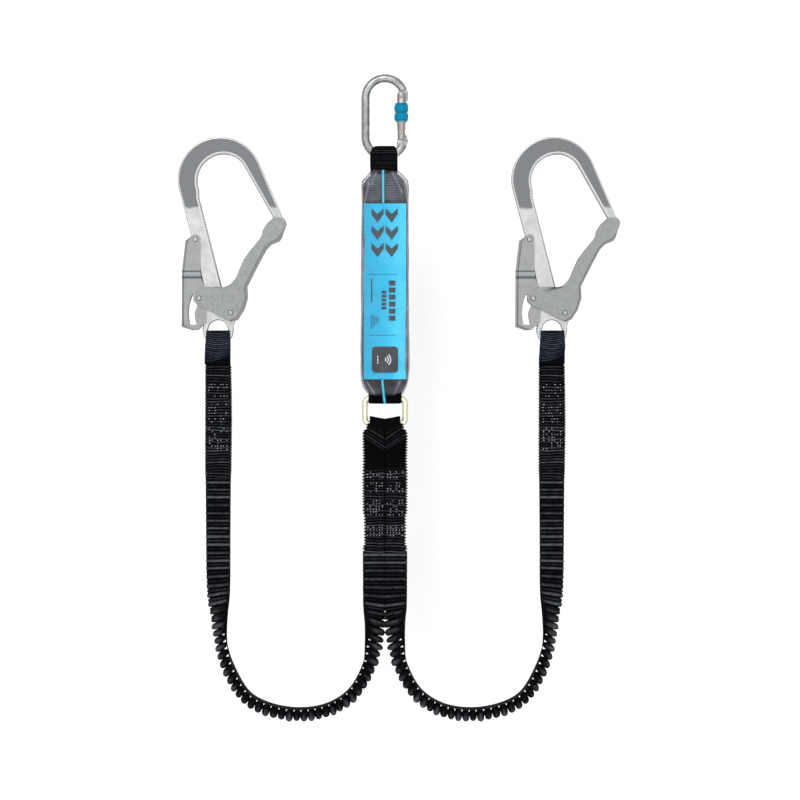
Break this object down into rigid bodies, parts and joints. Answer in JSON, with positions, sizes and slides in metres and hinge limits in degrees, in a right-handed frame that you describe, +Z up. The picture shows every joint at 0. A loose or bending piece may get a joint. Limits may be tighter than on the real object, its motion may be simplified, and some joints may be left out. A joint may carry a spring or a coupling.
{
  "type": "shock absorbing lanyard",
  "caption": "Twin-leg shock absorbing lanyard: sleeved absorber pack, screw-gate carabiner, ring, elasticated webbing legs and large scaffold hooks with locking gates.",
  "frame": {"origin": "middle of the absorber's flat back, which rests on the surface z = 0", "axes": "+X across the absorber, +Y along it towards the carabiner, +Z up out of the surface that the lanyard lies on"},
  "size_m": [0.5527, 0.8048, 0.0292],
  "materials": {
    "clear_vinyl": "clear shrink-fit vinyl sleeve, glossy and slightly wrinkled",
    "grey_webbing": "woven polyester tear webbing, grey",
    "printed_film": "satin printed label film, bright blue",
    "tag_film": "satin dark grey tag",
    "black_webbing": "ribbed black polyester webbing",
    "rubber_core": "elastic band",
    "satin_steel": "pressed zinc-plated steel, satin",
    "forged_steel": "blasted zinc-plated steel, matt",
    "bright_steel": "bright rivet heads",
    "spring_steel": "spring wire",
    "stainless_tube": "fine brushed stainless steel",
    "blue_anodised": "blue anodised, knurled",
    "yellow_zinc": "yellow passivated zinc plate, bright"
  },
  "bodies": {
    "absorber": {"absorber_cover": "clear_vinyl", "absorber_tear_webbing": "grey_webbing", "absorber_label": "printed_film", "absorber_id_tag": "tag_film", "absorber_top_loop": "black_webbing", "absorber_bottom_loop": "black_webbing"},
    "carabiner": {"carabiner_body": "satin_steel", "carabiner_hinge_pin": "bright_steel"},
    "carabiner_gate": {"carabiner_gate": "stainless_tube", "carabiner_latch_pin": "bright_steel", "carabiner_spring": "spring_steel"},
    "lock_sleeve": {"carabiner_lock_sleeve": "blue_anodised"},
    "ring": {"leg_ring": "yellow_zinc"},
    "left_leg": {"left_leg_ring_loop": "black_webbing", "left_leg_ring_end": "black_webbing", "left_leg_gathered_webbing": "black_webbing", "left_leg_elastic_core": "rubber_core", "left_leg_hook_end": "black_webbing", "left_leg_hook_loop": "black_webbing"},
    "left_hook": {"left_hook_body": "forged_steel", "left_hook_gate_rivet": "bright_steel", "left_hook_lever_rivet": "bright_steel", "left_hook_gate_spring": "spring_steel", "left_hook_lever_spring": "spring_steel"},
    "left_gate": {"left_hook_gate": "satin_steel", "left_hook_lock_rivet": "bright_steel"},
    "left_lever": {"left_hook_lever": "satin_steel"},
    "right_leg": {"right_leg_ring_loop": "black_webbing", "right_leg_ring_end": "black_webbing", "right_leg_gathered_webbing": "black_webbing", "right_leg_elastic_core": "rubber_core", "right_leg_hook_end": "black_webbing", "right_leg_hook_loop": "black_webbing"},
    "right_hook": {"right_hook_body": "forged_steel", "right_hook_gate_rivet": "bright_steel", "right_hook_lever_rivet": "bright_steel", "right_hook_gate_spring": "spring_steel", "right_hook_lever_spring": "spring_steel"},
    "right_gate": {"right_hook_gate": "satin_steel", "right_hook_lock_rivet": "bright_steel"},
    "right_lever": {"right_hook_lever": "satin_steel"}
  },
  "joints": [
    {"name": "carabiner_swing", "type": "hinge", "parent": "absorber", "child": "carabiner", "pos_m": [0, 0.162, 0.011], "axis": [1, 0, 0], "range_deg": [-45, 45]},
    {"name": "carabiner_gate_open", "type": "hinge", "parent": "carabiner", "child": "carabiner_gate", "pos_m": [0.0204, 0.184, 0.011], "axis": [0, 0, 1], "range_deg": [0, 24], "stiffness_Nm_per_rad": 0.3, "springref_deg": -17.19},
    {"name": "lock_sleeve_slide", "type": "slide", "parent": "carabiner_gate", "child": "lock_sleeve", "axis": [0, 1, 0], "range_m": [-0.01, 0]},
    {"name": "ring_swing", "type": "hinge", "parent": "absorber", "child": "ring", "pos_m": [0, -0.1446, 0.011], "axis": [1, 0, 0], "range_deg": [-90, 90]},
    {"name": "left_leg_swing", "type": "hinge", "parent": "ring", "child": "left_leg", "pos_m": [0, -0.1755, 0.011], "axis": [1, 0, 0], "range_deg": [-75, 75]},
    {"name": "left_hook_swing", "type": "hinge", "parent": "left_leg", "child": "left_hook", "pos_m": [-0.2084, -0.0717, 0.011], "axis": [1, 0, 0], "range_deg": [-30, 30]},
    {"name": "left_gate_open", "type": "hinge", "parent": "left_hook", "child": "left_gate", "pos_m": [-0.1925, -0.0376, 0.011], "axis": [0, 0, 1], "range_deg": [0, 35], "stiffness_Nm_per_rad": 1, "springref_deg": -14.32},
    {"name": "left_lever_press", "type": "hinge", "parent": "left_hook", "child": "left_lever", "pos_m": [-0.2364, 0.0543, 0.011], "axis": [0, 0, 1], "range_deg": [0, 4], "stiffness_Nm_per_rad": 1.5, "springref_deg": -5.73},
    {"name": "right_leg_swing", "type": "hinge", "parent": "ring", "child": "right_leg", "pos_m": [0, -0.1755, 0.011], "axis": [1, 0, 0], "range_deg": [-75, 75]},
    {"name": "right_hook_swing", "type": "hinge", "parent": "right_leg", "child": "right_hook", "pos_m": [0.2084, -0.0717, 0.011], "axis": [1, 0, 0], "range_deg": [-30, 30]},
    {"name": "right_gate_open", "type": "hinge", "parent": "right_hook", "child": "right_gate", "pos_m": [0.2243, -0.0376, 0.011], "axis": [0, 0, 1], "range_deg": [0, 35], "stiffness_Nm_per_rad": 1, "springref_deg": -14.32},
    {"name": "right_lever_press", "type": "hinge", "parent": "right_hook", "child": "right_lever", "pos_m": [0.1804, 0.0543, 0.011], "axis": [0, 0, 1], "range_deg": [0, 4], "stiffness_Nm_per_rad": 1.5, "springref_deg": -5.73}
  ],
  "couplings": [
    {"joint": "left_lever_press", "follows": "left_gate_open", "ratio": 0.11429},
    {"joint": "right_lever_press", "follows": "right_gate_open", "ratio": 0.11429}
  ]
}
